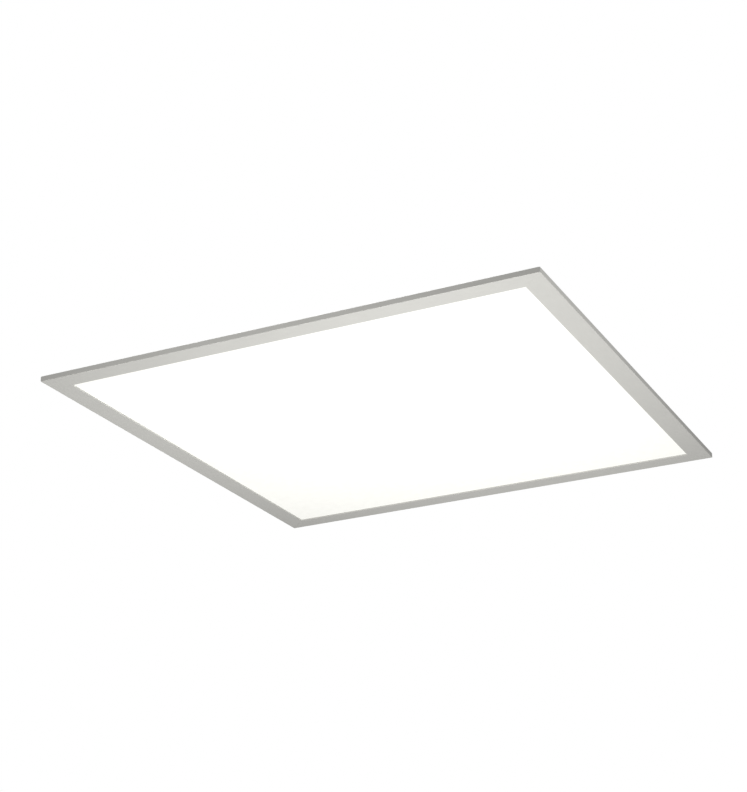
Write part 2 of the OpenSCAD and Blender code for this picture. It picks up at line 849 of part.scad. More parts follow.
// Output block through the case's south wall, and input block through its east wall.
module driver_terminals() {
    color("ivory") {
        translate([grommet_at[0] - 3.8, -case_y - 3, part_z]) difference() {
            cube([7.6, 8, 10]);
            for (place = [0:3]) translate([2.9, -1, 1.1 + 2 * place]) cube([1.8, 2, 1.8]);
        }
        translate([case_x1 - 6, mains_in_y[0] - 2.8, mains_z - 3.8]) difference() {
            cube([12, 13.6, 7.6]);
            for (k = [0:2]) translate([11, 1.4 + 4 * k, 2.4]) cube([2, 2.8, 2.8]);
        }
    }
}

module driver_transformer() {
    color("goldenrod") translate([-70, 0, part_z]) {
        for (y = [-13, 8]) translate([-12, y, 1]) cube([24, 5, 14]);
        translate([-12, -8.1, 1]) cube([24, 16.2, 3.5]);
        translate([-12, -8.1, 11.5]) cube([24, 16.2, 3.5]);
        translate([0, 0, 4.4]) cylinder(r = 7.5, h = 7.2);
        translate([-15, -6, 0]) cube([30, 12, 1.1]);
    }
}

module driver_capacitors() {
    color("midnightblue") {
        for (x = [-30, -16]) translate([x, -18, part_z + 6]) along_y() cylinder(r = 6, h = 22);
        for (x = [-112, -122, -132]) translate([x, 12, part_z]) cylinder(r = 4, h = 12);
        translate([-4, 8, part_z]) cube([18, 8, 13]);
    }
}

module driver_choke() {
    color("sienna") translate([8, -16, part_z]) rotate_extrude() translate([3.4, 0]) square([4.6, 7]);
}

module driver_heat_sink() {
    color("gray") translate([-100, -26, part_z]) {
        cube([3, 34, 14]);
        for (y = [0:4:32]) translate([-6, y, 0]) cube([6.1, 1.6, 14]);
    }
}

// ---- Slide switches ----

module switch_bodies() {
    pocket = 2.2;
    color("dimgray") for (k = [-1, 1])
        translate([case_x0 + case_wall + 0.1, k * switch_y - switch_size[1] / 2, part_z]) difference() {
            cube(switch_size);
            translate([-1, (switch_size[1] - slot_l) / 2, (switch_size[2] - knob_h) / 2 - 0.2])
                cube([pocket + 1, slot_l, knob_h + 0.4]);
        }
}

module switch_surround() {
    h = 12;
    w = 40;
    color("black") translate([-bx, 0, knob_z]) rotate([90, 0, -90]) linear_extrude(surround_t) difference() {
        rounded_2d(w, h, 1.5);
        for (k = [-1, 1]) translate([k * switch_y, 0]) square([slot_l, knob_h + 0.6], center = true);
    }
}

// A knob in its middle position; side is -1 or 1 along Y.
module switch_knob(side) {
    inner_x = case_x0 + case_wall + 2.1;
    translate([knob_tip, side * switch_y - knob_w / 2, knob_z - knob_h / 2]) difference() {
        cube([inner_x - knob_tip, knob_w, knob_h]);
        for (k = [0, 1]) translate([-1, 0.7 + k * 0.8, -1]) cube([1.4, 0.4, knob_h + 2]);
    }
}

module colour_switch_knob() {
    color("white") switch_knob(1);
}

module power_switch_knob() {
    color("white") switch_knob(-1);
}

// ---- Grid clips ----

// Puts a clip that is drawn for the east edge at one of the four places.
module clip_at(s) {
    translate([s[0] * clip_x, s[1] * clip_y, clip_z]) mirror([s[0] < 0 ? 1 : 0, 0, 0]) children();
}

// A bent strip that lies flat with its hook up. The pin is at the origin, and the arm points inward.
module grid_clip(s) {
    low = -clip_knuckle_r;
    r = clip_fold_r;
    color("silver") clip_at(s) difference() {
        rotate([90, 0, 0]) linear_extrude(clip_w, center = true) {
            circle(clip_knuckle_r);
            translate([r - clip_arm, low]) square([clip_arm - r, clip_t]);
            translate([-clip_arm, low]) fold_2d(r, clip_t);
            translate([-clip_arm, low + r]) square([clip_t, clip_hook - low - 2 * r]);
            translate([-clip_arm, clip_hook]) mirror([0, 1]) fold_2d(r, clip_t);
            translate([r - clip_arm, clip_hook - clip_t]) square([clip_lip + clip_t - r, clip_t]);
        }
        along_y() cylinder(r = clip_pin_r + running_gap, h = clip_w + 2, center = true);
        translate([-clip_arm * 0.55, 0, low - 1]) cylinder(r = safety_hole_r, h = clip_t + 2);
    }
}

module clip_brackets() {
    ear_r = 3;
    base = back_z - clip_z;
    color("silver") for (s = clip_signs) clip_at(s) difference() {
        union() {
            translate([bracket_x[0], -bracket_l / 2, base])
                cube([bracket_x[1] - bracket_x[0], bracket_l, bracket_t]);
            for (k = [-1, 1]) translate([0, k * (clip_w / 2 + ear_gap + bracket_t / 2), 0]) {
                translate([-ear_r, -bracket_t / 2, base]) cube([2 * ear_r, bracket_t, -base]);
                along_y() cylinder(r = ear_r, h = bracket_t, center = true);
            }
        }
        along_y() cylinder(r = clip_pin_r + pin_fit, h = clip_w + 8, center = true);
        for (k = [-1, 1]) translate([bracket_x[0] / 2, k * rivet_y, base - 1]) cylinder(r = 1.55, h = 3);
    }
}

module clip_pins() {
    l = clip_w + 2 * (ear_gap + bracket_t);
    color("silver") for (s = clip_signs) clip_at(s) along_y() {
        cylinder(r = clip_pin_r, h = l, center = true);
        for (k = [-1, 1]) translate([0, 0, k * (l / 2 + 0.4)]) cylinder(r = 2.1, h = 0.8, center = true);
    }
}

module bracket_rivets() {
    color("silver") for (s = clip_signs) clip_at(s) for (k = [-1, 1])
        translate([bracket_x[0] / 2, k * rivet_y, back_z - clip_z + bracket_t]) rivet(bracket_t + cover_t);
}

// ---- Nodes ----

frame_rail();  // frame_rail_south
rotate(90) frame_rail();  // frame_rail_east
rotate(180) frame_rail();  // frame_rail_north
rotate(270) frame_rail();  // frame_rail_west
corner_keys();
corner_key_screws();
diffuser();
light_guide();
reflector();
foam_backing();
led_board();  // led_board_south
mirror([0, 1, 0]) led_board();  // led_board_north
led_chips();  // led_chips_south
mirror([0, 1, 0]) led_chips();  // led_chips_north
thermal_tapes();
edge_spacers();
back_cover();
back_cover_screws();
suspension_nuts();
wire_grommet();
dc_wires_positive();
dc_wires_negative();
driver_tray();
tray_screws();
supply_end_plate();
switch_end_plate();
end_plate_rivets();
partition_plate();
driver_cover();
driver_cover_screws();
access_door();
door_hinge_pins();
cable_bushing();
knockout_slugs();
ground_screw();
mains_terminal();
line_wire();
neutral_wire();
earth_wires();
driver_case();
driver_case_lid();
driver_pads();
driver_board();
driver_terminals();
driver_transformer();
driver_capacitors();
driver_choke();
driver_heat_sink();
switch_bodies();
switch_surround();
colour_switch_knob();
power_switch_knob();
grid_clip(clip_signs[0]);  // grid_clip_ne
grid_clip(clip_signs[1]);  // grid_clip_nw
grid_clip(clip_signs[2]);  // grid_clip_sw
grid_clip(clip_signs[3]);  // grid_clip_se
clip_brackets();
clip_pins();
bracket_rivets();
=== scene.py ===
"""Looks for the LED ceiling panel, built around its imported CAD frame. All lengths are in metres.

The panel lies flat with its lit face down. The camera stands below it, as in the photograph.
"""

import json
import math

import bmesh
import bpy
from mathutils import Matrix, Vector


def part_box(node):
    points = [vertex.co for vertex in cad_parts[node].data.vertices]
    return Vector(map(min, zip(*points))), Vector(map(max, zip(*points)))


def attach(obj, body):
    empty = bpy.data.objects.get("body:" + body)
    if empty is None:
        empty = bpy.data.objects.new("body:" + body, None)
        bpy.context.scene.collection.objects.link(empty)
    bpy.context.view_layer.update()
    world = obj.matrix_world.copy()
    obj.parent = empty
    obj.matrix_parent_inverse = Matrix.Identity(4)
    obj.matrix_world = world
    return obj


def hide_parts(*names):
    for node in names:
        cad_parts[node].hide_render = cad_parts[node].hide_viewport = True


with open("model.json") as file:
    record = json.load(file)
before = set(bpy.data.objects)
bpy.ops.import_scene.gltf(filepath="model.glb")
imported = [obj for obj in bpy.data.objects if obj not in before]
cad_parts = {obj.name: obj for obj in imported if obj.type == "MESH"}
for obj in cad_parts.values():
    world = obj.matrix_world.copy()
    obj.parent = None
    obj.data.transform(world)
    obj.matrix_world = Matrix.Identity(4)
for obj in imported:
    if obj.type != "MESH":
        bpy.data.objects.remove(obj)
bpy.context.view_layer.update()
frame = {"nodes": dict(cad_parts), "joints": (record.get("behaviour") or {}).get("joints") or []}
NODES = frame["nodes"]


# ---- Materials ----

NOISE_LOW, NOISE_HIGH = 0.35, 0.65  # most of a noise texture's values lie between these
EDGE_FULL = 0.12  # how far a rounded normal leans from the plain one where an edge counts as sharp


class Look:
    """A material under construction: its Principled shader, and short calls that feed it."""

    def __init__(self, name, roughness, metallic=0.0, **fixed):
        self.material = bpy.data.materials.new(name)
        self.material.use_nodes = True
        self.tree = self.material.node_tree
        self.shader = self.tree.nodes["Principled BSDF"]
        self.shader.inputs["Roughness"].default_value = roughness
        self.shader.inputs["Metallic"].default_value = metallic
        for socket, value in fixed.items():
            self.shader.inputs[socket.replace("_", " ")].default_value = value
        self.place = self.add("ShaderNodeTexCoord").outputs["Object"]
        self.normal = None

    def add(self, kind, **settings):
        node = self.tree.nodes.new(kind)
        for key, value in settings.items():
            setattr(node, key, value)
        return node

    def feed(self, socket, value):
        """Links value to a socket, or sets it there if it is a plain number or colour."""
        if isinstance(value, bpy.types.NodeSocket):
            self.tree.links.new(value, socket)
        else:
            socket.default_value = value

    def math(self, operation, a, b=0.0):
        node = self.add("ShaderNodeMath", operation=operation)
        self.feed(node.inputs[0], a)
        self.feed(node.inputs[1], b)
        return node.outputs[0]

    def spread(self, value, low, high, start=NOISE_LOW, end=NOISE_HIGH):
        """value, stretched so that start to end becomes low to high."""
        node = self.add("ShaderNodeMapRange")
        for index, number in enumerate((value, start, end, low, high)):
            self.feed(node.inputs[index], number)
        return node.outputs[0]

    def mix(self, share, first, second):
        node = self.add("ShaderNodeMix", data_type="RGBA")
        self.feed(node.inputs[0], share)
        self.feed(node.inputs[6], first)
        self.feed(node.inputs[7], second)
        return node.outputs[2]

    def scaled(self, stretch):
        node = self.add("ShaderNodeMapping")
        self.feed(node.inputs["Vector"], self.place)
        node.inputs["Scale"].default_value = stretch
        return node.outputs["Vector"]

    def noise(self, size, stretch=(1, 1, 1), detail=3.0, rough=0.55):
        """Smooth noise whose blobs are about size across, longer along an axis with a small stretch."""
        node = self.add("ShaderNodeTexNoise")
        self.feed(node.inputs["Vector"], self.scaled(stretch))
        node.inputs["Scale"].default_value = 1 / size
        node.inputs["Detail"].default_value = detail
        node.inputs["Roughness"].default_value = rough
        return node.outputs["Fac"]

    def cells(self, size):
        """(distance, colour) of a cell pattern."""
        node = self.add("ShaderNodeTexVoronoi", feature="F1")
        self.feed(node.inputs["Vector"], self.place)
        node.inputs["Scale"].default_value = 1 / size
        return node.outputs["Distance"], node.outputs.get("Color")

    def bump(self, height, depth, strength=1.0):
        node = self.add("ShaderNodeBump")
        node.inputs["Strength"].default_value = strength
        node.inputs["Distance"].default_value = depth
        self.feed(node.inputs["Height"], height)
        if self.normal:
            self.feed(node.inputs["Normal"], self.normal)
        self.normal = node.outputs["Normal"]

    def edges(self, radius):
        """1 on sharp edges and 0 on flat faces, found by comparing the normal with a rounded one."""
        rounded = self.add("ShaderNodeBevel", samples=4)
        rounded.inputs["Radius"].default_value = radius
        plain = self.add("ShaderNodeNewGeometry")
        dot = self.add("ShaderNodeVectorMath", operation="DOT_PRODUCT")
        self.feed(dot.inputs[0], rounded.outputs["Normal"])
        self.feed(dot.inputs[1], plain.outputs["Normal"])
        return self.spread(self.math("SUBTRACT", 1.0, dot.outputs["Value"]), 0.0, 1.0, 0.0, EDGE_FULL)

    def done(self, color=None, roughness=None):
        if color is not None:
            self.feed(self.shader.inputs["Base Color"], color)
        if roughness is not None:
            self.feed(self.shader.inputs["Roughness"], roughness)
        if self.normal:
            self.feed(self.shader.inputs["Normal"], self.normal)
        return self.material


def shade(color, gain):
    return tuple(min(1.0, c * gain) for c in color) + (1.0,)


def powder_coat(name, color, roughness):
    """Painted sheet: orange peel, a slow waviness, faint dulling, and edges lightened as a painted
    highlight, partly wear.
    """
    look = Look(name, roughness, Coat_Weight=0.12, Coat_Roughness=0.25)
    broad = look.noise(0.09, detail=2)
    base = look.mix(look.spread(broad, 0, 1), shade(color, 0.965), shade(color, 1.02))
    specks = look.spread(look.noise(0.0016, detail=1), 0, 0.35, 0.68, 0.78)
    base = look.mix(specks, base, shade(color, 0.82))
    # Lighter edges: a painted edge highlight, partly wear.
    base = look.mix(look.math("MULTIPLY", look.edges(0.0005), 0.35), base, shade(color, 1.12))
    look.bump(look.noise(0.11, detail=1), 0.0006, 0.25)
    look.bump(look.noise(0.0011, detail=1), 0.000035, 0.6)
    return look.done(base, look.spread(look.noise(0.035, detail=2), roughness - 0.01, roughness + 0.025))


LINE_W, LINE_STRETCH = 0.00022, 0.012
LIP_W, LIP_ROUGHNESS = 0.0006, 0.9


def drawn_metal(name, color, roughness, along, metallic=1.0, opening=None):
    """Metal with fine lines along one axis (0, 1 or 2), such as an extrusion or rolled strip.

    A bezel's lip, at the distance opening from the middle, is left matt.
    """
    stretch = [1.0, 1.0, 1.0]
    stretch[along] = LINE_STRETCH
    look = Look(name, roughness, metallic)
    lines = look.noise(LINE_W, stretch, detail=4, rough=0.6)
    broad = look.noise(0.05, detail=3)
    base = look.mix(look.spread(lines, 0, 1), shade(color, 0.93), shade(color, 1.03))
    base = look.mix(look.spread(broad, 0, 0.5), base, shade(color, 0.95))
    # Lighter edges: a painted edge highlight, partly wear.
    base = look.mix(look.math("MULTIPLY", look.edges(0.0004), 0.5), base, shade(color, 1.15))
    look.bump(lines, 0.000006, 0.5)
    finish = look.spread(lines, roughness - 0.05, roughness + 0.07)
    if opening:
        split = look.add("ShaderNodeSeparateXYZ")
        look.feed(split.inputs[0], look.place)
        across = look.math("ABSOLUTE", split.outputs[1 - along])
        matt = look.spread(across, LIP_ROUGHNESS, 0.0, opening + LIP_W, opening + LIP_W * 1.2)
        finish = look.math("MAXIMUM", finish, matt)
    return look.done(base, finish)


def plated_metal(name, color, roughness):
    """Bright plated hardware: a cloudy tint, fine pits, and edges lightened as a painted highlight, partly
    wear.
    """
    look = Look(name, roughness, 1.0)
    cloud = look.noise(0.004, detail=4)
    base = look.mix(look.spread(cloud, 0, 1), shade(color, 0.86), shade(color, 1.06))
    # Lighter edges: a painted edge highlight, partly wear.
    base = look.mix(look.math("MULTIPLY", look.edges(0.00025), 0.5), base, shade(color, 1.2))
    look.bump(look.noise(0.0006, detail=3), 0.00001, 0.5)
    return look.done(base, look.spread(cloud, roughness - 0.06, roughness + 0.12))


def galvanised(name, color):
    """Zinc spangle: flat crystals that each catch the light a little differently."""
    look = Look(name, 0.36, 1.0)
    _, tone = look.cells(0.0032)
    split = look.add("ShaderNodeSeparateColor")
    look.feed(split.inputs[0], tone)
    crystal = split.outputs[0]
    base = look.mix(crystal, shade(color, 0.82), shade(color, 1.08))
    # Lighter edges: a painted edge highlight, partly wear.
    base = look.mix(look.math("MULTIPLY", look.edges(0.0003), 0.5), base, shade(color, 1.2))
    look.bump(crystal, 0.00003, 0.3)
    look.bump(look.noise(0.0005, detail=3), 0.000012, 0.4)
    return look.done(base, look.spread(crystal, 0.28, 0.5, 0, 1))


MOULD_GRAIN = 0.0006


def moulded(name, color, roughness, shift=0.06):
    """Injection-moulded plastic: spark-eroded grain, a slow tone shift, and edges lightened as a painted
    highlight.
    """
    look = Look(name, roughness)
    base = look.mix(look.spread(look.noise(0.02), 0, 1), shade(color, 1 - shift), shade(color, 1 + shift))
    edge = look.edges(0.0003)
    # Lighter edges: a painted edge highlight.
    base = look.mix(look.math("MULTIPLY", edge, 0.3), base, tuple(c + 0.05 for c in color) + (1.0,))
    look.bump(look.noise(MOULD_GRAIN, detail=2), 0.00003, 0.5)
    return look.done(base, look.spread(look.noise(MOULD_GRAIN * 2), roughness - 0.06, roughness + 0.08))


def insulation(name, color):
    """PVC wire insulation: soft sheen with faint drawn ripples."""
    look = Look(name, 0.42, Specular_IOR_Level=0.4)
    ripple = look.noise(0.0012, detail=2)
    base = look.mix(look.spread(ripple, 0, 1), shade(color, 0.88), shade(color, 1.1))
    look.bump(ripple, 0.00005, 0.4)
    return look.done(base, look.spread(look.noise(0.004), 0.36, 0.5))


def soft_black(name, color, roughness=0.7):
    """Rubber or foam: matt, with small pores."""
    look = Look(name, roughness, Specular_IOR_Level=0.3)
    distance, _ = look.cells(0.0009)
    base = look.mix(look.spread(look.noise(0.006), 0, 1), shade(color, 0.8), shade(color, 1.35))
    look.bump(distance, 0.00006, 0.4)
    return look.done(base, look.spread(distance, roughness - 0.08, roughness + 0.1, 0, 1))


def circuit_board(name, color):
    """Solder mask over copper tracks, which show as faint steps."""
    look = Look(name, 0.3, Coat_Weight=0.3)
    brick = look.add("ShaderNodeTexBrick")
    look.feed(brick.inputs["Vector"], look.place)
    brick.inputs["Scale"].default_value = 120
    brick.inputs["Mortar Size"].default_value = 0.06
    brick.inputs["Color1"].default_value = shade(color, 1.0)
    brick.inputs["Color2"].default_value = shade(color, 1.12)
    brick.inputs["Mortar"].default_value = shade(color, 0.8)
    look.bump(brick.outputs["Fac"], 0.00004, 0.5)
    base = look.mix(look.spread(look.noise(0.01), 0, 0.4), brick.outputs["Color"], shade(color, 0.85))
    return look.done(base, look.spread(look.noise(0.003), 0.25, 0.4))


def dotted_acrylic(name, color):
    """Clear sheet with the etched dots that let the light out."""
    look = Look(name, 0.05, Transmission_Weight=0.85, IOR=1.49)
    distance, _ = look.cells(0.0022)
    dots = look.spread(distance, 1, 0, 0.18, 0.24)
    base = look.mix(dots, shade(color, 1.0), (0.97, 0.97, 0.97, 1.0))
    return look.done(base, look.spread(dots, 0.05, 0.6, 0, 1))


OPAL_GLOW = (0.50, 0.495, 0.465, 1.0)
OPAL_DIM = (0.47, 0.465, 0.435, 1.0)
OPAL_STRENGTH = 1.0
OPAL_RIM_FADE = 0.5
OPAL_CLOUD = 0.1
OPAL_RIM_POWER = 6.0  # how closely the fading keeps to the frame


def lit_opal(name, low, high):
    """The lit sheet. Its light falls off very slightly towards the frame, and it has a fine satin grain."""
    look = Look(name, 0.32)
    centre = (low + high) / 2
    reach = (high - low) / 2
    split = look.add("ShaderNodeSeparateXYZ")
    look.feed(split.inputs[0], look.place)
    shares = []
    for axis in (0, 1):
        offset = look.math("ABSOLUTE", look.math("SUBTRACT", split.outputs[axis], centre[axis]))
        shares.append(look.math("POWER", look.math("DIVIDE", offset, reach[axis]), OPAL_RIM_POWER))
    rim = look.math("MINIMUM", look.math("ADD", *shares), 1.0)
    cloud = look.math("MULTIPLY", look.spread(look.noise(0.05, detail=2), 0, 1), OPAL_CLOUD)
    fade = look.math("ADD", look.math("MULTIPLY", rim, OPAL_RIM_FADE), cloud)
    glow = look.mix(fade, OPAL_GLOW, OPAL_DIM)
    look.feed(look.shader.inputs["Emission Color"], glow)
    look.shader.inputs["Emission Strength"].default_value = OPAL_STRENGTH
    look.bump(look.noise(0.0005, detail=2), 0.000008, 0.4)
    base = look.mix(look.spread(look.noise(0.01), 0, 1), (0.34, 0.34, 0.328, 1), (0.36, 0.36, 0.348, 1))
    return look.done(base, look.spread(look.noise(0.002), 0.28, 0.4))


SILVER = (0.41, 0.406, 0.384)
ENAMEL = (0.72, 0.72, 0.705)
STEEL = (0.66, 0.66, 0.67)
BLACK = (0.028, 0.028, 0.03)

opening = -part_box("frame_rail_south")[1].y
silver_x = drawn_metal("silver_rail_x", SILVER, 0.45, 0, metallic=0.35, opening=opening)
silver_y = drawn_metal("silver_rail_y", SILVER, 0.45, 1, metallic=0.35, opening=opening)
enamel = powder_coat("white_enamel", ENAMEL, 0.38)
zinc_plate = plated_metal("zinc_plate", STEEL, 0.26)
bright_aluminium = plated_metal("rivet_aluminium", (0.76, 0.76, 0.77), 0.34)
zinc_cast = plated_metal("zinc_casting", (0.36, 0.36, 0.37), 0.55)
spangle = galvanised("galvanised_strip", (0.62, 0.63, 0.64))
tin_shell = plated_metal("tinned_shell", (0.55, 0.55, 0.56), 0.3)
fin_metal = drawn_metal("finned_aluminium", (0.7, 0.7, 0.71), 0.35, 2)
green_dye = plated_metal("green_plate", (0.05, 0.34, 0.12), 0.3)
black_nylon = moulded("black_nylon", BLACK, 0.48, shift=0.15)
grey_nylon = moulded("grey_nylon", (0.58, 0.58, 0.56), 0.42)
white_nylon = moulded("white_nylon", (0.80, 0.80, 0.78), 0.4)
orange_nylon = moulded("orange_nylon", (0.75, 0.22, 0.03), 0.38)
rubber = soft_black("black_rubber", (0.03, 0.03, 0.03))
foam = soft_black("grey_foam", (0.30, 0.30, 0.31), 0.9)
film = moulded("white_film", (0.9, 0.9, 0.89), 0.55, shift=0.02)
tape = moulded("thermal_tape", (0.42, 0.42, 0.44), 0.6)
acrylic = dotted_acrylic("dotted_acrylic", (0.92, 0.96, 0.96))
white_board = circuit_board("white_board", (0.82, 0.82, 0.79))
green_board = circuit_board("green_board", (0.02, 0.17, 0.06))
phosphor = moulded("phosphor", (0.85, 0.66, 0.2), 0.3, shift=0.1)
yellow_tape = moulded("yellow_tape", (0.72, 0.52, 0.06), 0.3)
sleeve = moulded("blue_sleeve", (0.03, 0.05, 0.17), 0.25, shift=0.1)
ferrite = soft_black("dark_ferrite", (0.11, 0.085, 0.07), 0.6)
red_pvc = insulation("red_pvc", (0.52, 0.035, 0.025))
black_pvc = insulation("black_pvc", (0.022, 0.022, 0.024))
white_pvc = insulation("white_pvc", (0.78, 0.78, 0.76))
green_pvc = insulation("green_pvc", (0.03, 0.26, 0.07))

sheet_low, sheet_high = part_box("diffuser")
opal = lit_opal("lit_opal", sheet_low, sheet_high)


# ---- CAD nodes that keep their shape ----

def round_edges(thing, width):
    rounding = thing.modifiers.new("edge rounding", "BEVEL")
    rounding.width, rounding.segments = width, 2
    rounding.limit_method, rounding.angle_limit = "ANGLE", math.radians(40)
    return rounding


def finish_node(name, material, bevel):
    """Gives a CAD node its material, and rounds its sharp edges."""
    node = NODES[name]
    node.data.materials.clear()
    node.data.materials.append(material)
    if bevel:
        round_edges(node, bevel).harden_normals = True


for name, material, bevel in (
    ("frame_rail_south", silver_x, 0.00018), ("frame_rail_north", silver_x, 0.00018),
    ("frame_rail_east", silver_y, 0.00018), ("frame_rail_west", silver_y, 0.00018),
    ("diffuser", opal, 0.0), ("light_guide", acrylic, 0.0), ("reflector", film, 0.0),
    ("foam_backing", foam, 0.0), ("corner_keys", zinc_cast, 0.0002), ("corner_key_screws", zinc_plate, 0.0),
    ("led_board_south", white_board, 0.0), ("led_board_north", white_board, 0.0),
    ("led_chips_south", phosphor, 0.0), ("led_chips_north", phosphor, 0.0),
    ("thermal_tapes", tape, 0.0), ("edge_spacers", rubber, 0.0002),
    ("back_cover", enamel, 0.0002), ("wire_grommet", rubber, 0.0001),
    ("dc_wires_positive", red_pvc, 0.0), ("dc_wires_negative", black_pvc, 0.0),
    ("driver_tray", enamel, 0.00015), ("supply_end_plate", enamel, 0.00015),
    ("switch_end_plate", enamel, 0.00015), ("knockout_slugs", enamel, 0.00015),
    ("partition_plate", enamel, 0.00015), ("driver_cover", enamel, 0.0003), ("access_door", enamel, 0.0003),
    ("mains_terminal", grey_nylon, 0.0003), ("switch_surround", black_nylon, 0.0002),
    ("switch_bodies", tin_shell, 0.0001), ("colour_switch_knob", white_nylon, 0.00015),
    ("power_switch_knob", white_nylon, 0.00015), ("driver_case", white_nylon, 0.0005),
    ("driver_case_lid", white_nylon, 0.0005), ("driver_pads", foam, 0.0), ("driver_board", green_board, 0.0),
    ("driver_terminals", grey_nylon, 0.0002), ("driver_transformer", yellow_tape, 0.0002),
    ("driver_capacitors", sleeve, 0.0004), ("driver_choke", ferrite, 0.0004),
    ("driver_heat_sink", fin_metal, 0.0001), ("clip_brackets", spangle, 0.00015),
):
    finish_node(name, material, bevel)


# ---- Mesh helpers ----

def solids(name):
    """The (lowest, highest) corners of each separate solid in a CAD node, in order of place."""
    mesh = bmesh.new()
    mesh.from_mesh(NODES[name].data)
    bmesh.ops.remove_doubles(mesh, verts=mesh.verts, dist=1e-7)
    seen, boxes = set(), []
    for start in mesh.verts:
        if start in seen:
            continue
        seen.add(start)
        queue, group = [start], []
        while queue:
            vertex = queue.pop()
            group.append(vertex.co.copy())
            for edge in vertex.link_edges:
                other = edge.other_vert(vertex)
                if other not in seen:
                    seen.add(other)
                    queue.append(other)
        boxes.append(tuple(
            Vector([pick(p[axis] for p in group) for axis in range(3)]) for pick in (min, max)))
    mesh.free()
    return sorted(boxes, key=lambda pair: tuple(round(c, 4) for c in pair[0]))


def lathe(profile, segments=32):
    """A closed solid turned about Z from (radius, height) points. Its ends may be on the axis."""
    mesh = bmesh.new()
    rings = []
    for radius, height in profile:
        if radius < 1e-7:
            rings.append([mesh.verts.new((0, 0, height))])
        else:
            rings.append([
                mesh.verts.new((radius * math.cos(a), radius * math.sin(a), height))
                for a in (math.tau * k / segments for k in range(segments))
            ])
    loops = list(zip(rings, rings[1:]))
    if len(rings[0]) > 1 and len(rings[-1]) > 1:
        loops.append((rings[-1], rings[0]))
    for a, b in loops:
        for k in range(segments):
            j = (k + 1) % segments
            corners = [a[k % len(a)], a[j % len(a)], b[j % len(b)], b[k % len(b)]]
            corners = [v for i, v in enumerate(corners) if v not in corners[:i]]
            if len(corners) > 2:
                mesh.faces.new(corners)
    bmesh.ops.recalc_face_normals(mesh, faces=mesh.faces)
    return mesh


def prism(outline, low, high):
    """A closed solid with a flat outline of (x, y) points, from z low to z high."""
    mesh = bmesh.new()
    floor = [mesh.verts.new((x, y, low)) for x, y in outline]
    roof = [mesh.verts.new((x, y, high)) for x, y in outline]
    mesh.faces.new(floor[::-1])
    mesh.faces.new(roof)
    for k in range(len(outline)):
        j = (k + 1) % len(outline)
        mesh.faces.new((floor[k], floor[j], roof[j], roof[k]))
    bmesh.ops.recalc_face_normals(mesh, faces=mesh.faces)
    return mesh


def block(low, high):
    (x0, y0, z0), (x1, y1, z1) = low, high
    return prism([(x0, y0), (x1, y0), (x1, y1), (x0, y1)], z0, z1)


def moved(mesh, matrix):
    bmesh.ops.transform(mesh, matrix=matrix, verts=mesh.verts)
    if matrix.determinant() < 0:
        bmesh.ops.reverse_faces(mesh, faces=mesh.faces)
    return mesh


def copies(master, matrices):
    """One mesh made of a copy of master at each matrix."""
    base = bpy.data.meshes.new("master")
    master.to_mesh(base)
    whole = bmesh.new()
    for matrix in matrices:
        part = bmesh.new()
        part.from_mesh(base)
        moved(part, matrix)
        placed = bpy.data.meshes.new("copy")
        part.to_mesh(placed)
        whole.from_mesh(placed)
        part.free()
        bpy.data.meshes.remove(placed)
    bpy.data.meshes.remove(base)
    master.free()
    return whole


def joined(*parts):
    whole = bmesh.new()
    for part in parts:
        piece = bpy.data.meshes.new("part")
        part.to_mesh(piece)
        whole.from_mesh(piece)
        part.free()
        bpy.data.meshes.remove(piece)
    return whole


def cut(mesh, cutter):
    """mesh with cutter taken away."""
    pair = []
    for source in (mesh, cutter):
        data = bpy.data.meshes.new("cutting")
        source.to_mesh(data)
        source.free()
        thing = bpy.data.objects.new("cutting", data)
        bpy.context.scene.collection.objects.link(thing)
        pair.append(thing)
    tool = pair[0].modifiers.new("cut", "BOOLEAN")
    tool.operation, tool.solver, tool.object = "DIFFERENCE", "EXACT", pair[1]
    result = bmesh.new()
    result.from_object(pair[0], bpy.context.evaluated_depsgraph_get())
    for thing in pair:
        data = thing.data
        bpy.data.objects.remove(thing)
        bpy.data.meshes.remove(data)
    return result


def piece(name, mesh, material, body, slot, nodes=(), bevel=0.0, angle=35):
    """Makes the mesh a piece that rides on a body. It takes the place of the named CAD nodes."""
    data = bpy.data.meshes.new(name)
    mesh.to_mesh(data)
    mesh.free()
    thing = bpy.data.objects.new(name, data)
    bpy.context.scene.collection.objects.link(thing)
    data.materials.append(material)
    if bevel:
        round_edges(thing, bevel)
    data.set_sharp_from_angle(angle=math.radians(angle))
    for face in data.polygons:
        face.use_smooth = True
    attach(thing, body)
    if nodes:
        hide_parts(*nodes)


BEND_STEPS = 8
TUBE_SIDES = 16


def rounded_route(points, bend):
    """Points of a route whose corners are rounded from bend before to bend after."""
    route = [Vector(p) for p in points]
    path = [route[0]]
    for before, corner, after in zip(route, route[1:], route[2:]):
        a = corner + (before - corner).normalized() * bend
        b = corner + (after - corner).normalized() * bend
        for k in range(BEND_STEPS + 1):
            t = k / BEND_STEPS
            path.append((1 - t) ** 2 * a + 2 * (1 - t) * t * corner + t * t * b)
    return path + [route[-1]]


def tube(path, radius):
    """A round rod swept along path without twist."""
    mesh = bmesh.new()
    count = len(path)
    normal = Vector((0.3, 0.5, 0.8))
    rings = []
    for i, point in enumerate(path):
        tangent = (path[min(i + 1, count - 1)] - path[max(i - 1, 0)]).normalized()
        normal = (normal - normal.dot(tangent) * tangent).normalized()
        side = tangent.cross(normal)
        rings.append([
            mesh.verts.new(point + radius * (math.cos(a) * normal + math.sin(a) * side))
            for a in (math.tau * k / TUBE_SIDES for k in range(TUBE_SIDES))
        ])
    for a, b in zip(rings, rings[1:]):
        for k in range(TUBE_SIDES):
            j = (k + 1) % TUBE_SIDES
            mesh.faces.new((a[k], a[j], b[j], b[k]))
    mesh.faces.new(rings[0])
    mesh.faces.new(rings[-1])
    bmesh.ops.recalc_face_normals(mesh, faces=mesh.faces)
    return mesh


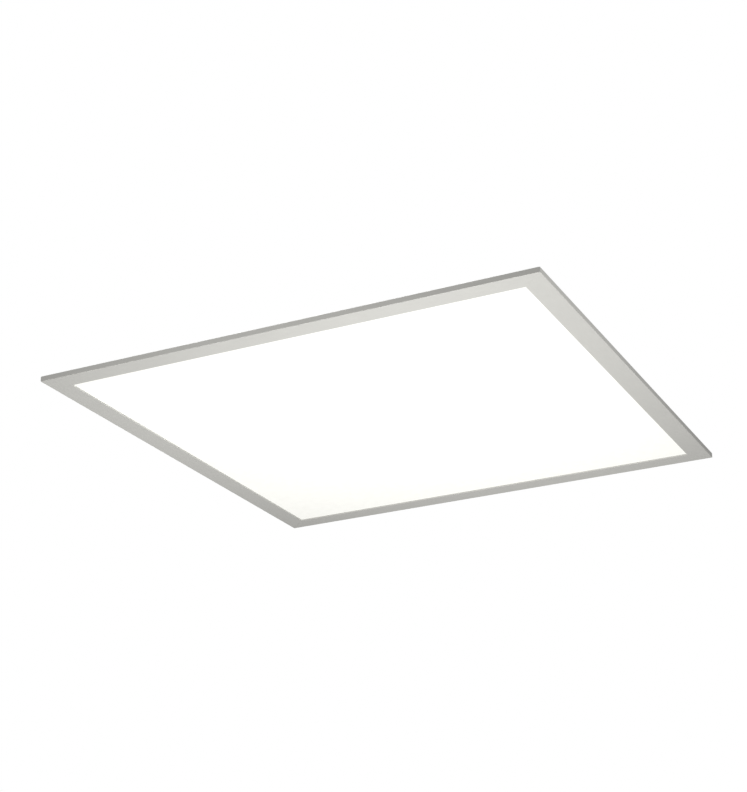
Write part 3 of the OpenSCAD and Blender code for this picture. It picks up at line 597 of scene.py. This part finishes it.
def ribbon(path, thickness):
    """The outline of a strip of sheet that follows path, a list of (x, y) points along its middle."""
    left, right = [], []
    for i, point in enumerate(path):
        ahead = Vector(path[min(i + 1, len(path) - 1)]) - Vector(path[max(i - 1, 0)])
        side = Vector((-ahead.y, ahead.x)).normalized() * thickness / 2
        left.append(tuple(Vector(point) + side))
        right.append(tuple(Vector(point) - side))
    return left + right[::-1]


def arc(centre, radius, start, end, steps):
    """(x, y) points of an arc, with its angles in degrees."""
    return [
        (centre[0] + radius * math.cos(math.radians(a)), centre[1] + radius * math.sin(math.radians(a)))
        for a in (start + (end - start) * k / steps for k in range(steps + 1))
    ]


TO_X = Matrix.Rotation(math.radians(90), 4, "Y")
TO_Y = Matrix.Rotation(math.radians(-90), 4, "X")
FROM_Y = Matrix.Rotation(math.radians(90), 4, "X")


# ---- Fasteners ----

SCREW_R, PAN_R, PAN_H, FLUSH_R = 0.0014, 0.0026, 0.0017, 0.0027
THREAD_PITCH, RECESS_W = 0.0005, 0.0007
RIVET_R, RIVET_H, RIVET_TAIL = 0.0024, 0.001, 0.0008


def cross_recess(top, reach, depth, width):
    """The cutter for a screw's cross recess, narrower and shorter towards its floor."""
    bars = []
    for turn in (0, math.pi / 2):
        bar = block((-reach, -width / 2, top - depth), (reach, width / 2, top + 0.0004))
        for vertex in bar.verts:
            if vertex.co.z < top:
                vertex.co.x *= 0.45
                vertex.co.y *= 0.7
        bars.append(moved(bar, Matrix.Rotation(turn, 4, "Z")))
    return bars


def screw(head, top, reach, depth, length, start):
    """A screw with the given head outline, a cross recess, and a thread from z = start down to -length."""
    profile = list(head)
    z = start
    while z > -length + 0.0012:
        profile += [(SCREW_R, z), (SCREW_R * 0.78, z - THREAD_PITCH / 2)]
        z -= THREAD_PITCH
    profile += [(SCREW_R * 0.6, -length + 0.0006), (0, -length)]
    mesh = lathe(profile, 28)
    for bar in cross_recess(top, reach, depth, RECESS_W):
        mesh = cut(mesh, bar)
    return mesh


def pan_screw(length):
    """Pan-head screw with its seat at z = 0."""
    dome = [(PAN_R * math.cos(a), PAN_H * (0.18 + 0.82 * math.sin(a) ** 0.9)) for a in
            (math.radians(d) for d in (8, 20, 34, 48, 62, 76))]
    head = [(0, PAN_H)] + dome[::-1] + [(PAN_R, PAN_H * 0.2), (PAN_R, 0), (SCREW_R, 0)]
    return screw(head, PAN_H, PAN_R * 0.56, PAN_H * 0.62, length, -0.0006)


def flush_screw(length):
    """Countersunk screw with the flat of its head at z = 0."""
    head = [(0, 0), (FLUSH_R - 0.0002, 0), (FLUSH_R, -0.00006), (FLUSH_R, -0.00012), (SCREW_R, -0.0013)]
    return screw(head, 0.0, FLUSH_R * 0.5, 0.001, length, -0.0017)


def blind_rivet(grip):
    """Domed blind rivet with its seat at z = 0, and the broken-off mandrel in its middle."""
    end = -grip - RIVET_TAIL
    profile = [
        (0, RIVET_H * 0.62), (0.00045, RIVET_H * 0.62), (0.0005, RIVET_H * 0.72), (0.00062, RIVET_H * 0.72),
        (0.00072, RIVET_H), (RIVET_R * 0.5, RIVET_H * 0.93), (RIVET_R * 0.8, RIVET_H * 0.66),
        (RIVET_R * 0.97, RIVET_H * 0.25), (RIVET_R, 0.0001), (RIVET_R, 0), (0.0015, 0), (0.0015, -grip),
        (0.0021, -grip - 0.0001), (0.0021, -grip - RIVET_TAIL * 0.7), (0.0014, end), (0, end),
    ]
    return lathe(profile, 28)


def turned(index):
    """A different angle for each fastener in a row, so that the recesses don't line up."""
    return Matrix.Rotation(math.radians((index * 47) % 90), 4, "Z")


def top_places(name, rise):
    """A place for each fastener that stands on the cover, with its seat rise below the CAD solid's top."""
    places = []
    for low, high in solids(name):
        middle = (low + high) / 2
        places.append(Matrix.Translation((middle.x, middle.y, high.z - rise)))
    return places


def side_places(name, rise):
    """The same for the fasteners on the driver box's two long sides, which face north and south."""
    places = []
    for low, high in solids(name):
        middle = (low + high) / 2
        north = middle.y > 0
        seat = high.y - rise if north else low.y + rise
        places.append(Matrix.Translation((middle.x, seat, middle.z)) @ (TO_Y if north else FROM_Y))
    return places


def screws(name, master, places):
    spun = [place @ turned(index) for index, place in enumerate(places)]
    piece(name + "_turned", copies(master, spun), zinc_plate, "luminaire", "zinc_plated_steel", nodes=[name])


def rivets(name, master, places):
    piece(name + "_domed", copies(master, places), bright_aluminium, "luminaire", "aluminium_rivet",
          nodes=[name])


screws("back_cover_screws", flush_screw(0.00455), top_places("back_cover_screws", 0.0))
screws("tray_screws", pan_screw(0.003), top_places("tray_screws", PAN_H))
screws("driver_cover_screws", pan_screw(0.005), side_places("driver_cover_screws", PAN_H))
rivets("end_plate_rivets", blind_rivet(0.0019), side_places("end_plate_rivets", RIVET_H))
rivets("bracket_rivets", blind_rivet(0.0017), top_places("bracket_rivets", RIVET_H))


# ---- Suspension nuts ----

NUT_R, NUT_BORE_R, SHANK_R, NUT_PITCH = 0.004, 0.0021, 0.00275, 0.0007
nut_low, nut_high = solids("suspension_nuts")[0]
cover_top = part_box("driver_tray")[0].z
height = nut_high.z - nut_low.z
shank_h = cover_top - nut_low.z
profile = [(SHANK_R, 0), (SHANK_R, shank_h), (NUT_R * 0.97, shank_h), (NUT_R, shank_h + 0.0002)]
for step in range(5):
    z = shank_h + 0.0009 + step * 0.0003
    profile += [(NUT_R, z), (NUT_R * 0.965, z + 0.0001), (NUT_R * 0.965, z + 0.0002)]
profile += [(NUT_R, height - 0.0006), (NUT_R * 0.985, height - 0.0003), (NUT_R * 0.9, height)]
profile += [(NUT_BORE_R + 0.0005, height), (NUT_BORE_R + 0.0001, height - 0.0004)]
z = height - NUT_PITCH
while z > NUT_PITCH:
    profile += [(NUT_BORE_R + 0.00032, z), (NUT_BORE_R, z - NUT_PITCH / 2)]
    z -= NUT_PITCH
profile += [(NUT_BORE_R + 0.0001, 0)]
nut_places = [
    Matrix.Translation(((low.x + high.x) / 2, (low.y + high.y) / 2, low.z))
    for low, high in solids("suspension_nuts")
]
piece("suspension_nuts_threaded", copies(lathe(profile, 40), nut_places), zinc_plate, "luminaire",
      "zinc_plated_steel", nodes=["suspension_nuts"])


# ---- Grid clips ----

CLIP_T = 0.001
CURL_R, CLIP_BEND = 0.0018, 0.0018
CLIP_HOOK, SAFETY_HOLE_R = 0.0045, 0.002
hinges = {joint["child"]: Vector(joint["pos_m"]) for joint in frame["joints"] if joint["type"] == "hinge"}


def grid_clip(body):
    """A strip rolled round its pin, bent up into a hook, with rounded corners and a safety-wire hole."""
    node = "grid_clip_" + body.split("_")[1]
    low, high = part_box(node)
    hinge = hinges[body]
    east = 1 if hinge.x > 0 else -1
    inner = (hinge.x - low.x) if east > 0 else (high.x - hinge.x)
    width = high.y - low.y
    hook = high.z - hinge.z
    arm_x = -inner + CLIP_T / 2
    path = arc((0, 0), CURL_R, 205, -90, 26)
    path += arc((arm_x + CLIP_BEND, -CURL_R + CLIP_BEND), CLIP_BEND, 270, 180, 8)
    path += arc((arm_x + CLIP_BEND, hook - CLIP_T / 2 - CLIP_BEND), CLIP_BEND, 180, 90, 8)
    path += [(arm_x + CLIP_HOOK, hook - CLIP_T / 2)]
    strip = moved(prism(ribbon(path, CLIP_T), -width / 2, width / 2), FROM_Y)
    drill = lathe([(0, -0.005), (SAFETY_HOLE_R, -0.005), (SAFETY_HOLE_R, 0.005), (0, 0.005)], 32)
    strip = cut(strip, moved(drill, Matrix.Translation((-inner * 0.55, 0, -CURL_R))))
    place = Matrix.Translation(hinge) @ Matrix.Scale(east, 4, (1, 0, 0))
    piece(node + "_rolled", moved(strip, place), spangle, body, "galvanised_steel", nodes=[node],
          bevel=0.00018, angle=50)


for body in ("clip_ne", "clip_nw", "clip_sw", "clip_se"):
    grid_clip(body)

PIN_R, PIN_HEAD_H = 0.00125, 0.0008


def both_ends(end):
    """A pin's whole profile, from the (radius, height) points of its upper end."""
    return end + [(r, -z) for r, z in end[::-1]]


clip_pins = []
for low, high in solids("clip_pins"):
    clip_pins.append(Matrix.Translation((low + high) / 2) @ TO_Y)
    half_l, head_r = (high.y - low.y) / 2, (high.z - low.z) / 2
pin_end = [(0, half_l), (head_r * 0.55, half_l - 0.00008), (head_r * 0.9, half_l - 0.0003),
           (head_r, half_l - 0.0006), (head_r, half_l - PIN_HEAD_H), (PIN_R, half_l - PIN_HEAD_H)]
piece("clip_pins_headed", copies(lathe(both_ends(pin_end), 28), clip_pins), zinc_plate, "luminaire",
      "zinc_plated_steel", nodes=["clip_pins"])


# ---- Driver box ----

door_pins = []
for low, high in solids("door_hinge_pins"):
    door_pins.append(Matrix.Translation((low + high) / 2) @ TO_X)
    half_l, pin_r = (high.x - low.x) / 2, (high.z - low.z) / 2
pin_end = [(0, half_l), (pin_r * 0.7, half_l), (pin_r, half_l - 0.0003)]
piece("door_hinge_pins_chamfered", copies(lathe(both_ends(pin_end), 24), door_pins), zinc_plate,
      "luminaire", "zinc_plated_steel", nodes=["door_hinge_pins"])

BARREL_R, BORE_R, BARREL_L, PLATE_T = 0.0106, 0.006, 0.009, 0.0009
RIM_R, MOUTH_R, BARB_R, SLOT_W = 0.0007, 0.001, 0.0118, 0.0014
bush_low, bush_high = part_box("cable_bushing")
plate_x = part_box("supply_end_plate")[1].x
entry = Vector((plate_x, (bush_low.y + bush_high.y) / 2, (bush_low.z + bush_high.z) / 2))
flange_r = (bush_high.y - bush_low.y) / 2
flange_h = bush_high.x - plate_x
profile = [(flange_r, 0.0)] + arc((flange_r - RIM_R, flange_h - RIM_R), RIM_R, 0, 90, 5)
profile += [(BORE_R + 0.0025, flange_h)]
profile += arc((BORE_R + MOUTH_R, flange_h - MOUTH_R), MOUTH_R, 90, 180, 5)
profile += [(BORE_R, -BARREL_L + 0.0003), (BORE_R + 0.0004, -BARREL_L), (BARREL_R - 0.0006, -BARREL_L),
            (BARREL_R, -BARREL_L + 0.0006), (BARREL_R, -0.0039), (BARB_R, -PLATE_T - 0.0002),
            (BARB_R - 0.0001, -PLATE_T - 0.00005), (BARREL_R, -PLATE_T - 0.00005), (BARREL_R, 0.0)]
bushing = lathe(profile, 64)
for turn in (22.5, 67.5, 112.5, 157.5):
    slot = block((-0.014, -SLOT_W / 2, -0.012), (0.014, SLOT_W / 2, -PLATE_T))
    bushing = cut(bushing, moved(slot, Matrix.Rotation(math.radians(turn), 4, "Z")))
piece("cable_bushing_snapped", moved(bushing, Matrix.Translation(entry) @ TO_X), black_nylon, "luminaire",
      "black_plastic", nodes=["cable_bushing"], bevel=0.00012)


# ---- Wiring compartment ----

POLES = range(3)
POLE_FIRST, POLE_PITCH, POLE_Z, FLANGE_X = 0.004, 0.008, 0.008, 0.002
INPUT_FIRST, INPUT_PITCH = 0.0028, 0.004
MAINS_R, MAINS_BEND = 0.001, 0.004

terminal_low, terminal_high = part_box("mains_terminal")
terminal_x = (terminal_low.x + terminal_high.x) / 2
pole_ys = [terminal_low.y + POLE_FIRST + pole * POLE_PITCH for pole in POLES]
buttons = []
for y in pole_ys:
    button = block((-0.0018, -0.0009, -0.0026), (0.0018, 0.0009, -0.0004))
    buttons.append(moved(button, Matrix.Translation((terminal_x, y, terminal_high.z))))
piece("terminal_buttons", joined(*buttons), orange_nylon, "luminaire", "light_grey_plastic", bevel=0.0003)

partition_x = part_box("partition_plate")[1].x
input_low, input_high = next(pair for pair in solids("driver_terminals") if pair[0].x > 0)
mains_z = (input_low.z + input_high.z) / 2
input_ys = [input_low.y + INPUT_FIRST + pole * INPUT_PITCH for pole in POLES]
input_x = input_high.x - 0.001
mouth_z = terminal_low.z + POLE_Z
body_low_x, body_high_x = terminal_low.x + FLANGE_X, terminal_high.x - FLANGE_X


def mains_path(pole):
    """From the driver's input block, through the partition, to one pole of the terminal."""
    return rounded_route([
        (input_x, input_ys[pole], mains_z), (partition_x + 0.0021, input_ys[pole], mains_z),
        (body_low_x - 0.005, pole_ys[pole], mouth_z), (body_low_x + 0.007, pole_ys[pole], mouth_z),
    ], MAINS_BEND)


piece("line_wire_round", tube(mains_path(0), MAINS_R), black_pvc, "luminaire", "black_wire",
      nodes=["line_wire"])
piece("neutral_wire_round", tube(mains_path(1), MAINS_R), white_pvc, "luminaire", "white_wire",
      nodes=["neutral_wire"])

ground_low, ground_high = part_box("ground_screw")
tray_floor = cover_top + PLATE_T
ground = Vector(((ground_low.x + ground_high.x) / 2, (ground_low.y + ground_high.y) / 2, tray_floor))
barrel_z = tray_floor + 0.0015
bond = rounded_route([
    (body_high_x - 0.007, pole_ys[2], mouth_z), (body_high_x + 0.008, pole_ys[2], mouth_z),
    (ground.x - 0.014, ground.y, barrel_z), (ground.x - 0.0075, ground.y, barrel_z),
], MAINS_BEND)
piece("earth_wires_round", joined(tube(mains_path(2), MAINS_R), tube(bond, MAINS_R)), green_pvc, "luminaire",
      "green_wire", nodes=["earth_wires"])

ring = lathe([(0.0015, 0), (0.0046, 0), (0.0046, 0.0008), (0.0015, 0.0008)], 40)
tongue = block((-0.0062, -0.002, 0), (-0.0035, 0.002, 0.0008))
crimp = moved(lathe([(0, -0.0025), (0.0013, -0.0025), (0.0015, -0.0021), (0.0015, -0.0008), (0.00135, 0),
                     (0.0015, 0.0008), (0.0015, 0.0021), (0.0013, 0.0025), (0, 0.0025)], 24),
              Matrix.Translation((-0.0085, 0, 0.0015)) @ TO_X)
piece("ring_terminal", moved(joined(ring, tongue, crimp), Matrix.Translation(ground)), zinc_plate,
      "luminaire", "zinc_plated_steel", bevel=0.00008)

HEX_R = 0.004
hexagon = lathe([(0, 0.0016), (HEX_R, 0.0016), (HEX_R, 0.0034), (HEX_R * 0.88, 0.004), (0, 0.004)], 6)
washer = lathe([(0, 0.0008), (0.0044, 0.0008), (0.0044, 0.0014), (0.0042, 0.0016), (0, 0.0016)], 40)
shank = lathe([(0, -0.0026), (0.001, -0.0026), (0.0014, -0.0018), (0.0014, 0.0009), (0, 0.0009)], 24)
hexagon = cut(hexagon, block((-0.0045, -0.0005, 0.0031), (0.0045, 0.0005, 0.005)))
piece("ground_screw_hex", moved(joined(hexagon, washer, shank), Matrix.Translation(ground)), green_dye,
      "luminaire", "green_screw", nodes=["ground_screw"], bevel=0.00012)


# ---- Switch marks ----

MARK_R, MARK_H, MARK_RISE, MARK_PITCH = 0.00045, 0.00012, 0.0016, 0.002
surround_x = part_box("switch_surround")[0].x
marks = []
for knob in ("colour_switch_knob", "power_switch_knob"):
    low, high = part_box(knob)
    y, z = (low.y + high.y) / 2, high.z + MARK_RISE
    for step in (-1, 0, 1):
        dot = lathe([(0, 0), (MARK_R, 0), (MARK_R * 0.8, MARK_H), (0, MARK_H)], 20)
        place = Matrix.Translation((surround_x, y + step * MARK_PITCH, z))
        marks.append(moved(dot, place @ Matrix.Rotation(-math.pi / 2, 4, "Y")))
piece("switch_marks", joined(*marks), white_nylon, "luminaire", "white_plastic")


# ---- Camera, floor and light ----

CAMERA_LENS, CAMERA_SENSOR = 83.42, 36
CAMERA_PLACE = (0.852286, -1.834012, -0.794287)
CAMERA_AXES = (  # columns: right, up, back
    (0.89857, 0.17817, 0.40103),
    (0.43859, -0.33467, -0.83405),
    (-0.01439, 0.92534, -0.37887),
)
camera = bpy.data.objects.new("camera", bpy.data.cameras.new("camera"))
bpy.context.scene.collection.objects.link(camera)
camera.data.lens = CAMERA_LENS
camera.data.sensor_width = CAMERA_SENSOR
camera.data.clip_end = 100
camera.matrix_world = Matrix.Translation(CAMERA_PLACE) @ Matrix(CAMERA_AXES).to_4x4()
bpy.context.scene.camera = camera

FLOOR_Z, FLOOR_REACH = -2.6, 40
floor_mesh = bmesh.new()
bmesh.ops.create_grid(floor_mesh, x_segments=1, y_segments=1, size=FLOOR_REACH)
floor_data = bpy.data.meshes.new("floor")
floor_mesh.to_mesh(floor_data)
floor_mesh.free()
floor = bpy.data.objects.new("floor", floor_data)
floor.location.z = FLOOR_Z
bpy.context.scene.collection.objects.link(floor)
floor_look = Look("pale_floor", 0.9)
floor_data.materials.append(floor_look.done(
    floor_look.mix(floor_look.noise(0.6), (0.84, 0.84, 0.84, 1), (0.86, 0.86, 0.86, 1))))


def softbox(name, place, target, size, power, gleams=True):
    """A square soft light. One that gleams is seen in glossy surfaces."""
    light = bpy.data.objects.new(name, bpy.data.lights.new(name, "AREA"))
    light.data.shape = "SQUARE"
    light.data.size = size
    light.data.energy = power
    light.location = place
    light.rotation_euler = (Vector(target) - Vector(place)).to_track_quat("-Z", "Y").to_euler()
    light.visible_camera = False
    light.visible_glossy = gleams
    bpy.context.scene.collection.objects.link(light)


softbox("under_key", (0.08, -0.15, -0.84), (0.08, -0.15, 0.0), 0.4, 13.6)
softbox("south_fill", (-0.02, -0.9, 0.0), (-0.02, 0.0, 0.0), 0.2, 3.8, gleams=False)
softbox("east_fill", (1.0, -0.29, 0.0), (0.0, -0.29, 0.0), 0.2, 5.9, gleams=False)
softbox("top_key", (-0.75, 0.9, 1.3), (0.0, 0.0, 0.0), 0.9, 15)

# The camera sees a white backdrop, and everything else is lit by a dimmer room.
WORLD_LIGHT, BACKDROP_LIGHT = 0.4, 1.0
world = bpy.data.worlds.new("studio")
bpy.context.scene.world = world
world.use_nodes = True
tree = world.node_tree
room = tree.nodes["Background"]
room.inputs["Color"].default_value = (1, 1, 1, 1)
room.inputs["Strength"].default_value = WORLD_LIGHT
backdrop = tree.nodes.new("ShaderNodeBackground")
backdrop.inputs["Color"].default_value = (1, 1, 1, 1)
backdrop.inputs["Strength"].default_value = BACKDROP_LIGHT
path = tree.nodes.new("ShaderNodeLightPath")
choice = tree.nodes.new("ShaderNodeMixShader")
tree.links.new(path.outputs["Is Camera Ray"], choice.inputs[0])
tree.links.new(room.outputs[0], choice.inputs[1])
tree.links.new(backdrop.outputs[0], choice.inputs[2])
tree.links.new(choice.outputs[0], tree.nodes["World Output"].inputs["Surface"])
bpy.context.scene.view_settings.view_transform = "Standard"
